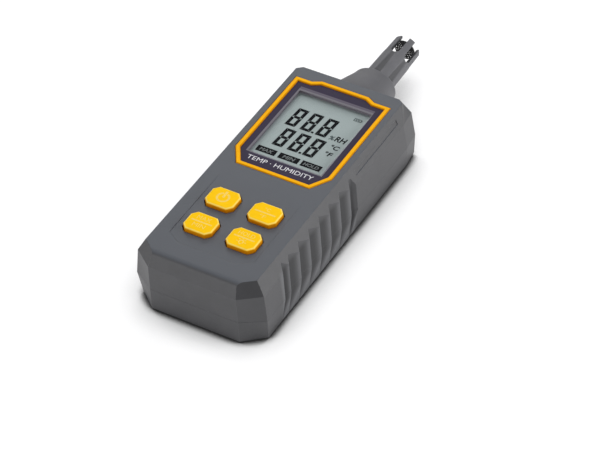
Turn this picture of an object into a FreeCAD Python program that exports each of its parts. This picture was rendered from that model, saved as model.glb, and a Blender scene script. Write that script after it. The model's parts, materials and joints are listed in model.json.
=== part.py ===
import FreeCAD, Part
import math
import os
import re
import Sketcher

# Digital thermo-hygrometer with a slotted probe, in millimetres. It lies on its back, display up.
# Heights are above the back, x is across the case, and every piece is drawn with y = 0 where the
# two shells meet at the butt end. Each placement then moves its piece along the case, so that the
# origin is under the middle of the whole length.

SIZES = {
    # Case outline at the crease, where the two shells meet
    "case_length": 116.0,
    "crease_half_width": 26.2,
    "crease_height": 10.4,
    "crease_cut_run": 8.6,
    "crease_cut_rise": 5.3,
    "far_cut_run": 0.9,
    "far_cut_rise": 8.0,
    # Shoulder line above the crease
    "bevel_rise": 5.6,
    "shoulder_side_inset": 1.05,
    "shoulder_butt_lean": 0.5,
    "shoulder_far_inset": 1.2,
    "shoulder_cut_run": 7.75,
    "shoulder_cut_rise": 5.9,
    # Front face
    "face_side_inset": 4.1,
    "face_butt_inset": 2.0,
    "face_far_inset": 2.7,
    "face_cut_run": 5.5,
    "face_cut_rise": 4.3,
    "face_far_run": 2.1,
    "face_far_rise": 1.8,
    "butt_edge_radius": 2.5,
    # Foot line and the flat back below it
    "foot_height": 1.0,
    "foot_side_inset": 0.75,
    "foot_butt_inset": 0.35,
    "foot_far_lean": 0.7,
    "foot_cut_run": 7.8,
    "foot_cut_rise": 6.6,
    "back_bevel": 1.0,
    # Walls
    "shell_wall": 2.0,
    "face_wall": 2.0,
    "floor_wall": 1.8,
    "fit_gap": 0.1,
    "overrun": 1.0,
    # Grip scallops on both long sides
    "scallop_depth": 1.5,
    "scallop_fall": 1.4,
    "scallop_pitch": 7.25,
    "scallop_first_pitch": 4.6,
    "scallop_ridge_drop": 0.3,
    "scallop_face_lean": 1.5,
    "scallop_foot_lean": 0.6,
    "scallop_face_shift": 0.9,
    "scallop_foot_shift": 3.0,
    "grip_start": 18.6,
    "grip_end_width": 2.6,
    # Shallow channel along the upper side, beside the display
    "channel_start": 73.0,
    "channel_far_margin": 11.5,
    "channel_top": 25.0,
    "channel_width": 1.7,
    "channel_depth": 0.3,
    # Display frame, as a centre line and a band
    "frame_side_margin": 7.45,
    "frame_bottom": 56.0,
    "frame_far_margin": 9.6,
    "frame_cut_run": 4.4,
    "frame_cut_rise": 7.2,
    "frame_step_outer": 12.7,
    "frame_step_inner": 9.5,
    "frame_step_rise": 1.8,
    "frame_band": 1.8,
    "frame_proud": 0.3,
    "frame_thickness": 1.6,
    "frame_edge_radius": 0.45,
    # Window and lens
    "window_side_margin": 3.35,
    "window_near_margin": 7.1,
    "window_far_margin": 4.2,
    "lens_thickness": 1.0,
    # Display module
    "lcd_thickness": 2.4,
    "lcd_margin": 1.2,
    "lcd_drop": 0.2,
    "holder_wall": 0.5,
    "holder_floor": 0.8,
    "led_width": 3.2,
    "led_depth": 0.9,
    "led_clearance": 0.5,
    "zebra_margin": 1.5,
    "zebra_depth": 1.2,
    # Circuit board and what is on it
    "board_gap": 4.0,
    "display_depth": 7.5,
    "board_thickness": 1.6,
    "board_side_gap": 1.4,
    "board_start": 12.5,
    "board_neck_length": 8.0,
    "board_neck_half_width": 15.5,
    "board_far_margin": 9.5,
    "chip_side": 10.0,
    "chip_height": 1.4,
    "chip_far_margin": 26.5,
    "crystal_radius": 1.5,
    "crystal_length": 8.0,
    "crystal_far_margin": 34.5,
    "capacitor_length": 3.2,
    "capacitor_width": 1.6,
    "capacitor_height": 1.2,
    "capacitor_pitch": 5.5,
    "capacitor_far_margin": 12.5,
    # Keys, their mat and their pills
    "key_half_width": 5.75,
    "key_half_depth": 4.8,
    "key_cut_run": 1.9,
    "key_cut_rise": 2.1,
    "key_column_pitch": 17.0,
    "key_row_pitch": 14.7,
    "keypad_centre": 28.2,
    "key_proud": 1.6,
    "key_clearance": 0.3,
    "key_flange": 0.9,
    "key_flange_thickness": 1.0,
    "key_edge_radius": 0.8,
    "key_post_half_width": 4.0,
    "key_post_half_depth": 3.2,
    "key_travel": 0.8,
    "pill_radius": 1.9,
    "pill_thickness": 0.6,
    "mat_margin": 2.0,
    "mat_side_gap": 1.25,
    "mat_thickness": 1.2,
    "mat_clearance": 0.4,
    # Shallow recess round the keys, which fades out towards the display
    "contour_half_width": 16.8,
    "contour_bottom": 9.9,
    "contour_length": 39.0,
    "contour_fade": 16.0,
    "contour_cut_run": 5.4,
    "contour_cut_rise": 3.5,
    "contour_depth": 0.15,
    # Case screws and board screws
    "boss_radius": 2.4,
    "screw_radius": 1.15,
    "screw_length": 12.0,
    "screw_head_radius": 1.9,
    "screw_head_height": 1.6,
    "screw_head_recess": 1.9,
    "screw_slot_width": 0.6,
    "screw_slot_depth": 0.7,
    "butt_screw_side_inset": 9.0,
    "butt_screw_place": 7.0,
    "far_screw_side_inset": 6.4,
    "far_screw_inset": 13.0,
    "board_screw_inset": 2.0,
    "board_screw_near": 16.5,
    "board_screw_far": 57.0,
    "board_boss_radius": 1.8,
    "board_screw_radius": 0.8,
    "board_screw_length": 4.5,
    "board_screw_head_radius": 1.5,
    "board_screw_head_height": 1.0,
    # Battery cells and their compartment
    "cell_radius": 5.25,
    "cell_length": 43.5,
    "cell_nub_radius": 1.9,
    "cell_nub_length": 1.0,
    "cell_gap": 0.4,
    "tray_start": 12.6,
    "tray_wall": 2.0,
    "tray_ceiling_wall": 1.2,
    "tray_clearance": 0.25,
    "contact_thickness": 0.4,
    "contact_width": 8.0,
    "contact_height": 8.0,
    "contact_base": 4.2,
    "contact_tail_width": 2.4,
    "spring_wire_radius": 0.25,
    "spring_radius": 2.7,
    "spring_length": 5.7,
    # Battery door
    "door_thickness": 1.7,
    "door_rim": 0.9,
    "door_gap": 0.2,
    "door_tab_width": 4.0,
    "door_tab_root": 1.0,
    "door_tab_reach": 1.8,
    "door_tab_thickness": 1.0,
    "door_tab_play": 0.9,
    "door_thumb_radius": 4.5,
    "door_thumb_depth": 0.5,
    "door_thumb_inset": 6.0,
    # Blank label on the back
    "label_half_width": 15.0,
    "label_gap": 8.4,
    "label_far_margin": 20.0,
    "label_depth": 0.3,
    # Collar
    "collar_length": 16.4,
    "collar_gap": 0.2,
    "collar_axis_height": 12.5,
    "collar_half_width": 13.2,
    "collar_end_radius": 8.8,
    "collar_rim_radius": 1.3,
    "collar_lip": 2.4,
    "collar_lip_height": 14.0,
    "collar_lip_thickness": 2.0,
    # Probe tube
    "probe_length": 25.0,
    "probe_root_radius": 6.2,
    "probe_tip_radius": 5.75,
    "probe_bore_radius": 4.3,
    "probe_stop_radius": 7.6,
    "probe_stop_thickness": 2.0,
    "probe_stop_depth": 14.4,
    "probe_tip_rounding": 0.8,
    "slot_width": 3.4,
    "slot_length": 10.4,
    "flute_radius": 4.0,
    "flute_depth": 0.12,
    # Sensing strip
    "strip_half_width": 1.1,
    "strip_thickness": 0.8,
    "header_half_width": 5.0,
    "header_depth": 5.0,
    "header_far_margin": 17.0,
    "header_grip": 3.0,
    "header_skin": 0.8,
    "humidity_side": 2.0,
    "humidity_height": 1.0,
    "humidity_inset": 5.0,
    "thermistor_radius": 0.6,
    "thermistor_length": 2.0,
    "thermistor_inset": 10.0,
    "cap_radius": 4.15,
    "cap_thickness": 1.0,
    "cap_tip_gap": 0.7,
}

SCALLOPS = 6
SLOTS = 6
CAPACITORS = 4
SPRING_TURNS = 4
ARCS_PER_TURN = 4
POINTS_PER_ARC = 9
# The collar narrows along its length by a power of what is left of it, times a swelling, and its
# height over its width changes evenly from the root's share to the end's share.
COLLAR_SECTIONS = 6
COLLAR_POWER = 1.6
COLLAR_SWELL = 1.1
COLLAR_ROOT_SHARE = 0.826
COLLAR_END_SHARE = 0.9
FUNCTIONS = ("sqrt",)
LENGTHWISE = FreeCAD.Rotation(FreeCAD.Vector(1, 0, 0), -90)
CROSSWISE = FreeCAD.Rotation(FreeCAD.Vector(0, 1, 0), 90)

doc = FreeCAD.newDocument("thermo_hygrometer")
nodes = {}

# Sizes that follow from the driving ones, as formulas
DERIVED = {
    "tip": "case_length + collar_length + probe_length",
    "cell_pitch": "2 * cell_radius + cell_gap",
    "cell_height": "door_thickness + tray_clearance + cell_radius",
    "tray_ceiling": "door_thickness + 2 * tray_clearance + 2 * cell_radius",
    "tray_half_width": "cell_pitch + cell_radius + tray_clearance",
    "tray_length": "cell_length + cell_nub_length + spring_length + 2 * contact_thickness",
    "tray_end": "tray_start + tray_length",
    "board_bottom": "tray_ceiling + tray_ceiling_wall + board_gap",
    "board_top": "board_bottom + board_thickness",
    "face_height": "board_top + display_depth",
    "shoulder_height": "face_height - bevel_rise",
    "ceiling": "face_height - face_wall",
    "ledge": "face_height + frame_proud - frame_thickness",
    "side_wall": "shell_wall + scallop_depth",
    "upper_wall": "shell_wall + scallop_depth / 2",
    "channel_length": "case_length - channel_far_margin - channel_start",
    "frame_half_width": "crease_half_width - frame_side_margin",
    "frame_top": "case_length - frame_far_margin",
    "window_half_width": "frame_half_width - window_side_margin",
    "window_bottom": "frame_bottom + window_near_margin",
    "window_top": "frame_top - window_far_margin",
    "lcd_bottom": "ceiling - lcd_drop - lcd_thickness",
    "guide_base": "board_top + holder_floor",
    "board_half_width": "crease_half_width - side_wall - board_side_gap",
    "board_end": "case_length - board_far_margin",
    "board_shoulder": "board_end - board_neck_length",
    "butt_screw_half_pitch": "crease_half_width - butt_screw_side_inset",
    "far_screw_half_pitch": "crease_half_width - far_screw_side_inset",
    "far_screw_place": "case_length - far_screw_inset",
    "board_screw_half_pitch": "board_half_width - board_screw_inset",
    "key_top": "face_height + key_proud",
    "post_bottom": "board_top + key_travel + pill_thickness + fit_gap",
    "collar_end": "case_length + collar_length",
    "header_start": "case_length - header_far_margin",
    "strip_end": "tip - cap_tip_gap - cap_thickness",
    "strip_top": "collar_axis_height + strip_thickness / 2",
    "label_start": "tray_end + label_gap",
    "label_length": "case_length - label_far_margin - label_start",
}


def make_sheet():
    """Spreadsheet with one named driving size in each row."""
    sheet = doc.addObject("Spreadsheet::Sheet", "sizes")
    for row, (name, value) in enumerate(SIZES.items(), 1):
        sheet.set(f"A{row}", name)
        sheet.set(f"B{row}", str(value))
        sheet.setAlias(f"B{row}", name)
    doc.recompute()


def bound(formula):
    """The same formula with each driving name read from the sheet."""
    def named(match):
        word = match.group()
        if word in DERIVED:
            return f"({bound(DERIVED[word])})"
        return word if word in FUNCTIONS else "sizes." + word
    return re.sub(r"[a-z][a-z_]*[a-z]", named, formula)


def bind(thing, **formulas):
    """Ties properties to formulas in the sheet's names; two underscores stand for a dot."""
    for name, formula in formulas.items():
        thing.setExpression(name.replace("__", "."), bound(formula))


def place(thing, x="0", y="0", z="0"):
    """Puts an object at x, y, z, with the whole length's middle at the origin."""
    middle = "(tip - shoulder_butt_lean) / 2"
    bind(thing, Placement__Base__x=x, Placement__Base__y=f"{y} - {middle}", Placement__Base__z=z)


def keep(thing, label):
    """Names an object as a piece of the instrument."""
    thing.Label = label
    nodes[label] = thing
    return thing


# Sketched bodies

def new_body(name, x="0", y="0", z="0"):
    """A sketched body."""
    body = doc.addObject("PartDesign::Body", name)
    place(body, x, y, z)
    return body


def attached_sketch(body, name, lift, role="XY_Plane"):
    """An empty sketch on one of the body's own planes, lifted along that plane's normal."""
    sketch = body.newObject("Sketcher::SketchObject", f"{body.Name}_{name}")
    plane = next(item for item in body.Origin.OriginFeatures if item.Role == role)
    sketch.AttachmentSupport = [(plane, "")]
    sketch.MapMode = "FlatFace"
    bind(sketch, AttachmentOffset__Base__z=lift)
    return sketch


def add_outline(sketch, points):
    """Closed run of straight lines whose corners are held by formulas."""
    first = sketch.GeometryCount
    count = len(points)
    turn = 2 * math.pi / count
    angles = [turn * (i + 1 / 2) for i in range(count)]
    spots = [FreeCAD.Vector(math.cos(angle), math.sin(angle), 0) for angle in angles]
    for i in range(count):
        sketch.addGeometry(Part.LineSegment(spots[i], spots[(i + 1) % count]), False)
    for i in range(count):
        sketch.addConstraint(Sketcher.Constraint("Coincident", first + i, 2, first + (i + 1) % count, 1))
    for i, corner in enumerate(points):
        for kind, formula, start in zip(("DistanceX", "DistanceY"), corner, spots[i]):
            index = sketch.addConstraint(Sketcher.Constraint(kind, -1, 1, first + i, 1, start))
            sketch.setExpression(f"Constraints[{index}]", bound(formula))


def outline(body, name, points, lift="0", role="XY_Plane"):
    """Sketch that holds one closed outline."""
    sketch = attached_sketch(body, name, lift, role)
    add_outline(sketch, points)
    return sketch


def circles(body, name, spots, radius, lift="0"):
    """Level sketch that holds one circle at each spot."""
    sketch = attached_sketch(body, name, lift)
    for x, y in spots:
        index = sketch.addGeometry(Part.Circle(FreeCAD.Vector(1, 1, 0), FreeCAD.Vector(0, 0, 1), 1), False)
        for kind, formula in (("DistanceX", x), ("DistanceY", y)):
            held = sketch.addConstraint(Sketcher.Constraint(kind, -1, 1, index, 3, 1))
            sketch.setExpression(f"Constraints[{held}]", bound(formula))
        held = sketch.addConstraint(Sketcher.Constraint("Radius", index, 1))
        sketch.setExpression(f"Constraints[{held}]", bound(radius))
    return sketch


def grow(body, sketch, length):
    """Pad from a sketch, along its normal."""
    pad = body.newObject("PartDesign::Pad", sketch.Name + "_pad")
    pad.Profile = sketch
    bind(pad, Length=length)
    return pad


def sink(body, sketch, depth, upward=False):
    """Pocket from a sketch, against its normal, or along it where upward is set."""
    pocket = body.newObject("PartDesign::Pocket", sketch.Name + "_pocket")
    pocket.Profile = sketch
    pocket.Reversed = upward
    bind(pocket, Length=depth)
    return pocket


def loft(body, sketches, kind="AdditiveLoft"):
    """Straight-sided loft through a list of sketches."""
    result = body.newObject("PartDesign::" + kind, sketches[0].Name + "_loft")
    result.Profile = sketches[0]
    result.Sections = sketches[1:]
    result.Ruled = True
    return result


def round_edges(body, solid, radius, wanted):
    """Rounds the edges of a solid whose vertices all satisfy wanted."""
    names = [f"Edge{i}" for i, edge in enumerate(solid.Shape.Edges, 1) if all(map(wanted, edge.Vertexes))]
    fillet = body.newObject("PartDesign::Fillet", body.Name + "_rounding")
    fillet.Base = (solid, names)
    bind(fillet, Radius=radius)
    return fillet


def mirror_points(right):
    """Points of the right half, followed by their mirror images."""
    return right + [(f"-({x})", y) for x, y in reversed(right)]


def rectangle(half_width, bottom, top, x="0"):
    """Corners of a rectangle that is even about x."""
    left, right = f"{x} - ({half_width})", f"{x} + {half_width}"
    return [(left, bottom), (right, bottom), (right, top), (left, top)]


# Primitives

def block(name, x, y, z, width, depth, height):
    """Box that is even about x, starts at y and stands on z."""
    thing = doc.addObject("Part::Box", name)
    bind(thing, Length=width, Width=depth, Height=height)
    place(thing, f"{x} - ({width}) / 2", y, z)
    return thing


def bar(name, x, y, z, radius, length, lengthwise=False):
    """Round bar that stands on x, y, z, or runs along the case from there."""
    thing = doc.addObject("Part::Cylinder", name)
    if lengthwise:
        thing.Placement = FreeCAD.Placement(FreeCAD.Vector(), LENGTHWISE)
    bind(thing, Radius=radius, Height=length)
    place(thing, x, y, z)
    return thing


def joined(name, pieces):
    """One solid from several that touch."""
    thing = doc.addObject("Part::MultiFuse", name)
    thing.Shapes = pieces
    return thing


def cut_by(name, base, tools):
    """A solid with one or more tools cut out of it."""
    thing = doc.addObject("Part::Cut", name)
    thing.Base = base
    thing.Tool = tools[0] if len(tools) == 1 else joined(name + "_tools", tools)
    return thing


def grouped(name, pieces):
    """Separate solids kept as one piece."""
    thing = doc.addObject("Part::Compound", name)
    thing.Links = pieces
    return thing


# Outlines of the case

def case_outline(half_width, butt, far, run, rise, far_run, far_rise):
    """Corners of the case seen from above, with its four corners cut off."""
    w = f"({half_width})"
    return mirror_points([(f"{w} - {run}", butt), (w, f"{butt} + {rise}"),
                          (w, f"{far} - {far_rise}"), (f"{w} - {far_run}", far)])


def crease_outline(inset="0"):
    """Case outline where the shells meet, moved in by inset."""
    return case_outline(f"crease_half_width - {inset}", inset, f"case_length - {inset}",
                        "crease_cut_run", "crease_cut_rise", "far_cut_run", "far_cut_rise")


def shoulder_outline(inset="0"):
    """Case outline at the shoulder, moved in by inset."""
    return case_outline(f"crease_half_width - shoulder_side_inset - {inset}", f"{inset} - shoulder_butt_lean",
                        f"case_length - shoulder_far_inset - {inset}",
                        "shoulder_cut_run", "shoulder_cut_rise", "far_cut_run", "far_cut_rise")


def face_outline(inset="0"):
    """Outline of the front face, moved in by inset."""
    return case_outline(f"crease_half_width - face_side_inset - {inset}", f"face_butt_inset + {inset}",
                        f"case_length - face_far_inset - {inset}",
                        "face_cut_run", "face_cut_rise", "face_far_run", "face_far_rise")


def foot_outline(inset="0"):
    """Case outline at the foot, moved in by inset."""
    return case_outline(f"crease_half_width - foot_side_inset - {inset}", f"foot_butt_inset + {inset}",
                        f"case_length + foot_far_lean - {inset}",
                        "foot_cut_run", "foot_cut_rise", "far_cut_run", "far_cut_rise")


def frame_outline(offset):
    """Corners of the display frame's centre line, moved outward by offset."""
    o = f"({offset})"
    slant = "sqrt(frame_cut_run * frame_cut_run + frame_cut_rise * frame_cut_rise)"
    run = "(frame_step_outer - frame_step_inner)"
    step_slant = f"sqrt({run} * {run} + frame_step_rise * frame_step_rise)"
    step_shift = f"{o} * ({step_slant} - {run}) / frame_step_rise"
    return mirror_points([
        (f"frame_half_width - frame_cut_run + {o} * ({slant} - frame_cut_run) / frame_cut_rise",
         f"frame_bottom - {o}"),
        (f"frame_half_width + {o}",
         f"frame_bottom + frame_cut_rise - {o} * ({slant} - frame_cut_rise) / frame_cut_run"),
        (f"frame_half_width + {o}", f"frame_top + {o}"),
        (f"frame_step_outer + {step_shift}", f"frame_top + {o}"),
        (f"frame_step_inner + {step_shift}", f"frame_top + frame_step_rise + {o}")])


def scallop_outline(sign, lean, shift):
    """Zigzag that cuts one side's grips at one height: each ridge falls steeply, then ramps up again."""
    outer = f"crease_half_width + overrun - ({lean})"
    ridge = f"crease_half_width - scallop_ridge_drop - ({lean})"
    valley = f"crease_half_width - scallop_depth - ({lean})"
    start = f"grip_start - ({shift})"
    points = [(outer, f"{start} - overrun"), (valley, f"{start} + scallop_fall")]
    for i in range(SCALLOPS + 1):
        y = f"{start} + scallop_first_pitch + {i} * scallop_pitch"
        points += [(ridge, y), (valley, f"{y} + scallop_fall")]
    points += [(valley, f"{y} + grip_end_width"), (outer, f"{y} + grip_end_width + 2 * scallop_fall")]
    return [(f"{sign}({x})", y) for x, y in points]


def cut_scallops(body, levels):
    """Cuts the grips of both sides between two heights."""
    for side, sign in (("right", ""), ("left", "-")):
        loft(body, [outline(body, f"{side}_grips_{i}", scallop_outline(sign, lean, shift), height)
                    for i, (height, lean, shift) in enumerate(levels)], "SubtractiveLoft")


CREASE_LEVEL = ("crease_height", "0", "scallop_face_shift")
CASE_SCREWS = [(f"{sign}{column}", row) for column, row in (("butt_screw_half_pitch", "butt_screw_place"),
                                                          ("far_screw_half_pitch", "far_screw_place"))
               for sign in ("-", "")]
BOARD_SCREWS = [(f"{sign}board_screw_half_pitch", row) for row in ("board_screw_near", "board_screw_far")
                for sign in ("-", "")]
KEYS = {"power_key": ("-", "+"), "unit_key": ("", "+"), "max_min_key": ("-", "-"), "hold_key": ("", "-")}


def key_centre(label):
    """Where a key's middle lies."""
    column, row = KEYS[label]
    return f"{column}key_column_pitch / 2", f"keypad_centre {row} key_row_pitch / 2"


def key_outline(margin, x="0", y="0"):
    """Corners of a key, grown by margin, about x and y."""
    w, d = f"(key_half_width + {margin})", f"(key_half_depth + {margin})"
    corners = mirror_points([(f"{w} - key_cut_run", f"-{d}"), (w, f"-{d} + key_cut_rise"),
                             (w, f"{d} - key_cut_rise"), (f"{w} - key_cut_run", d)])
    return [(f"{x} + ({a})", f"{y} + ({b})") for a, b in corners]


def oval(name, half_width, flat_share, y):
    """Upright ellipse across the probe's axis at y, flattened by the share."""
    thing = doc.addObject("Part::Ellipse", name)
    thing.Placement = FreeCAD.Placement(FreeCAD.Vector(), LENGTHWISE)
    bind(thing, MajorRadius=half_width, MinorRadius=f"{half_width} * {flat_share}")
    place(thing, "0", y, "collar_axis_height")
    return thing


def collar_hole(name):
    """Oval plug that opens a shell's far wall for the collar's root."""
    thing = doc.addObject("Part::Loft", name)
    thing.Sections = [
        oval(f"{name}_{i}", "(collar_half_width + collar_gap)", COLLAR_ROOT_SHARE, y)
        for i, y in enumerate(("case_length - side_wall - collar_lip_thickness - overrun",
                               "case_length + foot_far_lean + overrun"))]
    thing.Solid = True
    thing.Ruled = True
    return thing


# Case

def front_shell():
    """Upper half: face, bevels, grips, window, key holes, screw bosses."""
    body = new_body("front_shell_body")
    loft(body, [outline(body, "crease", crease_outline(), "crease_height"),
                outline(body, "shoulder", shoulder_outline(), "shoulder_height"),
                outline(body, "face", face_outline(), "face_height")])
    loft(body, [outline(body, "inner_crease", crease_outline("side_wall"), "crease_height"),
                outline(body, "inner_shoulder", shoulder_outline("upper_wall"),
                        "shoulder_height"),
                outline(body, "inner_face", face_outline("shell_wall"), "ceiling")], "SubtractiveLoft")
    grow(body, circles(body, "bosses", CASE_SCREWS, "boss_radius", "crease_height"),
         "ceiling - crease_height + face_wall / 4")
    grow(body, circles(body, "board_bosses", BOARD_SCREWS, "board_boss_radius", "board_top"),
         "ceiling - board_top + face_wall / 4")
    sink(body, circles(body, "screw_holes", CASE_SCREWS, "(screw_radius + fit_gap)", "crease_height"),
         "screw_head_recess + screw_head_height + screw_length - crease_height + overrun", True)
    sink(body, circles(body, "board_screw_holes", BOARD_SCREWS, "(board_screw_radius + fit_gap)",
                       "board_top"), "board_screw_length - board_thickness + fit_gap", True)
    sink(body, outline(body, "window", rectangle("window_half_width", "window_bottom", "window_top"),
                       "face_height"), "face_wall")
    sink(body, outline(body, "lens_seat", frame_outline("frame_band / 2 + fit_gap"), "face_height"),
         "frame_thickness - frame_proud")
    loft(body, [outline(body, "contour_floor", contour("contour_length - contour_fade"),
                        "face_height - contour_depth"),
                outline(body, "contour_rim", contour("contour_length"), "face_height")], "SubtractiveLoft")
    for label in KEYS:
        hole = key_outline("key_clearance", *key_centre(label))
        sink(body, outline(body, f"{label}_hole", hole, "face_height"), "face_wall")
    cut_scallops(body, (CREASE_LEVEL, ("face_height", "scallop_face_lean", "0")))
    for side, sign in (("right", ""), ("left", "-")):
        section = outline(body, f"{side}_channel", channel(sign), "-channel_start", "XZ_Plane")
        sink(body, section, "channel_length")
    keep(cut_by("front_shell_cut", body, [collar_hole("front_collar_hole"), butt_rounding()]), "front_shell")


def butt_rounding():
    """Tool that leaves a round edge between the face and the leaning butt: a box less a bar."""
    lean, rise = "(face_butt_inset + shoulder_butt_lean)", "(face_height - shoulder_height)"
    slant = f"sqrt({lean} * {lean} + {rise} * {rise})"
    reach = f"(butt_edge_radius * ({slant} - {lean}) / {rise})"
    start, low = "(-shoulder_butt_lean - overrun)", f"(face_height - {reach} * {rise} / {slant})"
    width = "2 * crease_half_width"
    box = block("butt_edge_box", "0", start, low, width, f"face_butt_inset + {reach} - {start}",
                f"face_height + overrun - {low}")
    roll = doc.addObject("Part::Cylinder", "butt_edge_bar")
    roll.Placement = FreeCAD.Placement(FreeCAD.Vector(), CROSSWISE)
    bind(roll, Radius="butt_edge_radius", Height=width)
    place(roll, "-crease_half_width", f"face_butt_inset + {reach}", "face_height - butt_edge_radius")
    return cut_by("butt_edge_tool", box, [roll])


def contour(length):
    """Outline of the recess round the keys, for one length."""
    return mirror_points([("contour_half_width - contour_cut_run", "contour_bottom"),
                          ("contour_half_width", "contour_bottom + contour_cut_rise"),
                          ("contour_half_width", f"contour_bottom + {length}")])


def channel(sign):
    """Section of the side channel, parallel to the bevel that it is cut in."""
    bevel = "(face_side_inset - shoulder_side_inset) / (face_height - shoulder_height)"
    corners = []
    for height, offset in (("channel_top", "-channel_depth"), ("channel_top", "overrun"),
                           ("(channel_top - channel_width)", "overrun"),
                           ("(channel_top - channel_width)", "-channel_depth")):
        x = f"crease_half_width - face_side_inset + (face_height - {height}) * {bevel} + {offset}"
        corners.append((f"{sign}({x})", height))
    return corners


def rear_shell():
    """Lower half: back, battery compartment, screw posts."""
    body = new_body("rear_shell_body")
    loft(body, [outline(body, "back", foot_outline("back_bevel"), "0"),
                outline(body, "foot", foot_outline(), "foot_height"),
                outline(body, "crease", crease_outline(), "crease_height")])
    hollow = [outline(body, "inner_floor", foot_outline("side_wall"), "floor_wall"),
              outline(body, "inner_crease", crease_outline("side_wall"), "crease_height")]
    loft(body, hollow, "SubtractiveLoft")
    grow(body, circles(body, "posts", CASE_SCREWS, "(boss_radius + fit_gap)", "0"), "crease_height")
    grow(body, outline(body, "tray", rectangle("(tray_half_width + tray_wall)", "tray_start - tray_wall",
                                               "tray_end + tray_wall"), "floor_wall / 2"),
         "tray_ceiling + tray_ceiling_wall - floor_wall / 2")
    sink(body, outline(body, "tray_inside", rectangle("tray_half_width", "tray_start", "tray_end"),
                       "tray_ceiling"), "tray_ceiling")
    sink(body, outline(body, "door_seat", rectangle("(tray_half_width + door_rim)", "tray_start - door_rim",
                                                    "tray_end + door_rim"), "floor_wall"), "floor_wall")
    tab_slots = attached_sketch(body, "tab_slots",
                                "floor_wall + fit_gap + door_tab_thickness + door_tab_play")
    for x in ("-cell_pitch / 2", "cell_pitch / 2"):
        add_outline(tab_slots, rectangle("(door_tab_width / 2 + door_gap)", "tray_end - overrun",
                                         "tray_end + tray_wall + overrun", x))
    sink(body, tab_slots, "fit_gap + door_tab_thickness + door_tab_play")
    tails = attached_sketch(body, "tail_slots", "tray_ceiling + tray_ceiling_wall")
    add_outline(tails, rectangle("(contact_tail_width / 2 + fit_gap)", "tray_start",
                                 "tray_start + contact_thickness + fit_gap", "-cell_pitch"))
    add_outline(tails, rectangle("(contact_tail_width / 2 + fit_gap)",
                                 "tray_end - contact_thickness - fit_gap", "tray_end", "cell_pitch"))
    sink(body, tails, "tray_ceiling_wall")
    sink(body, circles(body, "screw_holes", CASE_SCREWS, "(screw_radius + 2 * fit_gap)", "0"),
         "crease_height", True)
    sink(body, circles(body, "head_holes", CASE_SCREWS, "(screw_head_radius + 2 * fit_gap)", "0"),
         "screw_head_recess + screw_head_height", True)
    sink(body, outline(body, "label_seat", rectangle("(label_half_width + fit_gap)", "label_start - fit_gap",
                                                     "label_start + label_length + fit_gap"), "0"),
         "label_depth", True)
    cut_scallops(body, (("0", "-scallop_foot_lean", "scallop_face_shift + scallop_foot_shift"), CREASE_LEVEL))
    keep(cut_by("rear_shell_cut", body, [collar_hole("rear_collar_hole")]), "rear_shell")
    keep(block("label", "0", "label_start", "0", "2 * label_half_width", "label_length", "label_depth"),
         "rear_label")


def screw(name, x, y, head_z, radius, length, head_radius, head_height):
    """Upright screw, head below, with a straight driver slot."""
    whole = joined(name + "_blank", [
        bar(name + "_head", x, y, head_z, head_radius, head_height),
        bar(name + "_shank", x, y, head_z, radius, f"{head_height} + {length}")])
    slot = block(name + "_slot", x, f"{y} - {head_radius} - overrun", f"{head_z} - overrun",
                 "screw_slot_width", f"2 * {head_radius} + 2 * overrun", "screw_slot_depth + overrun")
    return cut_by(name, whole, [slot])


def screws():
    """Case screws and board screws, driven from the back."""
    keep(grouped("case_screw_set", [
        screw(f"case_screw_{i}", x, y, "screw_head_recess", "screw_radius", "screw_length",
              "screw_head_radius", "screw_head_height")
        for i, (x, y) in enumerate(CASE_SCREWS, 1)]), "case_screws")
    keep(grouped("board_screw_set", [
        screw(f"board_screw_{i}", x, y, "board_bottom - board_screw_head_height", "board_screw_radius",
              "board_screw_length", "board_screw_head_radius", "board_screw_head_height")
        for i, (x, y) in enumerate(BOARD_SCREWS, 1)]), "board_screws")


# Display

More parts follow.
